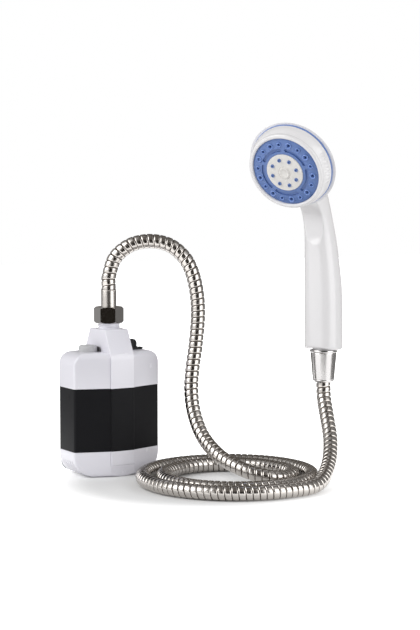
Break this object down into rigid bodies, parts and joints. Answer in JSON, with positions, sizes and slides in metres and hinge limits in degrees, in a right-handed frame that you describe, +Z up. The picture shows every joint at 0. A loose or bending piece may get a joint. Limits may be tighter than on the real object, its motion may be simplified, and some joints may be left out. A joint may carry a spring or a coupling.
{
  "type": "camp shower pump",
  "caption": "Portable camp shower: a battery pump in a moulded case feeds a ribbed steel hose that lies in a flat coil and carries a handset with a turning spray face.",
  "frame": {"origin": "on the floor, under the middle of the pump case", "axes": "+Z up, -Y is the front of the pump, +X is to the right seen from the front, where the hose and handset lie"},
  "size_m": [0.2253, 0.2283, 0.3207],
  "materials": {
    "case_white": "fine satin moulded plastic",
    "band_charcoal": "matte soft-touch",
    "seal_rubber": "moulded rubber",
    "button_grey": "soft silicone",
    "lens_dark": "smoked red lens",
    "plug_rubber": "moulded rubber",
    "cup_rubber": "translucent soft vinyl",
    "inner_plastic": "moulded",
    "plain_steel": "bright plated",
    "cell_sleeve": "shrink sleeve",
    "board_green": "lacquered board",
    "filter_foam": "open foam",
    "fitting_chrome": "bright chrome plate",
    "hose_steel": "polished interlocked stainless strip",
    "handset_white": "glossy moulded plastic",
    "spray_blue": "satin moulded plastic",
    "centre_white": "fine textured plastic"
  },
  "bodies": {
    "pump": {"lower_housing": "case_white", "upper_housing": "case_white", "waist_band": "band_charcoal", "case_gasket": "seal_rubber", "indicator_lens": "lens_dark", "plug_tether": "plug_rubber", "left_suction_cup": "cup_rubber", "right_suction_cup": "cup_rubber", "pump_deck": "inner_plastic", "deck_screws": "plain_steel", "volute": "inner_plastic", "shaft_seal": "seal_rubber", "motor_can": "plain_steel", "riser_pipe": "inner_plastic", "battery_cups": "inner_plastic", "left_cell": "cell_sleeve", "right_cell": "cell_sleeve", "control_board": "board_green", "board_screws": "plain_steel", "push_switch": "plug_rubber", "charging_socket": "plain_steel", "intake_filters": "filter_foam", "spout_washer": "seal_rubber", "pump_ferrule": "fitting_chrome", "hose_arch": "hose_steel", "hose_coil": "hose_steel", "hose_riser": "hose_steel", "handset_ferrule": "fitting_chrome"},
    "button": {"power_button": "button_grey"},
    "plug": {"port_plug": "plug_rubber"},
    "rotor": {"motor_shaft": "plain_steel", "impeller": "inner_plastic"},
    "nut": {"hex_nut": "fitting_chrome"},
    "handset": {"cone_nut": "fitting_chrome", "handset_washer": "seal_rubber", "handset_shell": "handset_white", "inlet_screen": "plain_steel", "trim_ring": "spray_blue", "diverter_disc": "inner_plastic", "pivot_screw": "plain_steel", "detent_ball": "plain_steel", "detent_spring": "plain_steel", "head_seal": "seal_rubber"},
    "spray_face": {"selector_ring": "handset_white", "spray_plate": "spray_blue", "centre_plate": "centre_white", "centre_nozzles": "spray_blue", "centre_cap": "centre_white"}
  },
  "joints": [
    {"name": "button_press", "type": "slide", "parent": "pump", "child": "button", "axis": [0, 0, -1], "range_m": [0, 0.0015], "stiffness_N_per_m": 1500},
    {"name": "plug_lift", "type": "hinge", "parent": "pump", "child": "plug", "pos_m": [0.033, 0, 0.115], "axis": [0, 1, 0], "range_deg": [0, 95]},
    {"name": "rotor_spin", "type": "hinge", "parent": "pump", "child": "rotor", "pos_m": [0, -0.0061, 0.02], "axis": [0, 0, 1], "continuous": true},
    {"name": "nut_turn", "type": "hinge", "parent": "pump", "child": "nut", "pos_m": [0, 0, 0.147], "axis": [0, 0, 1], "continuous": true},
    {"name": "handset_swivel", "type": "hinge", "parent": "pump", "child": "handset", "pos_m": [0.164, -0.113, 0.116], "axis": [0, 0, 1], "continuous": true},
    {"name": "spray_select", "type": "hinge", "parent": "handset", "child": "spray_face", "pos_m": [0.09481, -0.15215, 0.278], "axis": [-0.7856, -0.4445, -0.4305], "range_deg": [0, 144]}
  ]
}
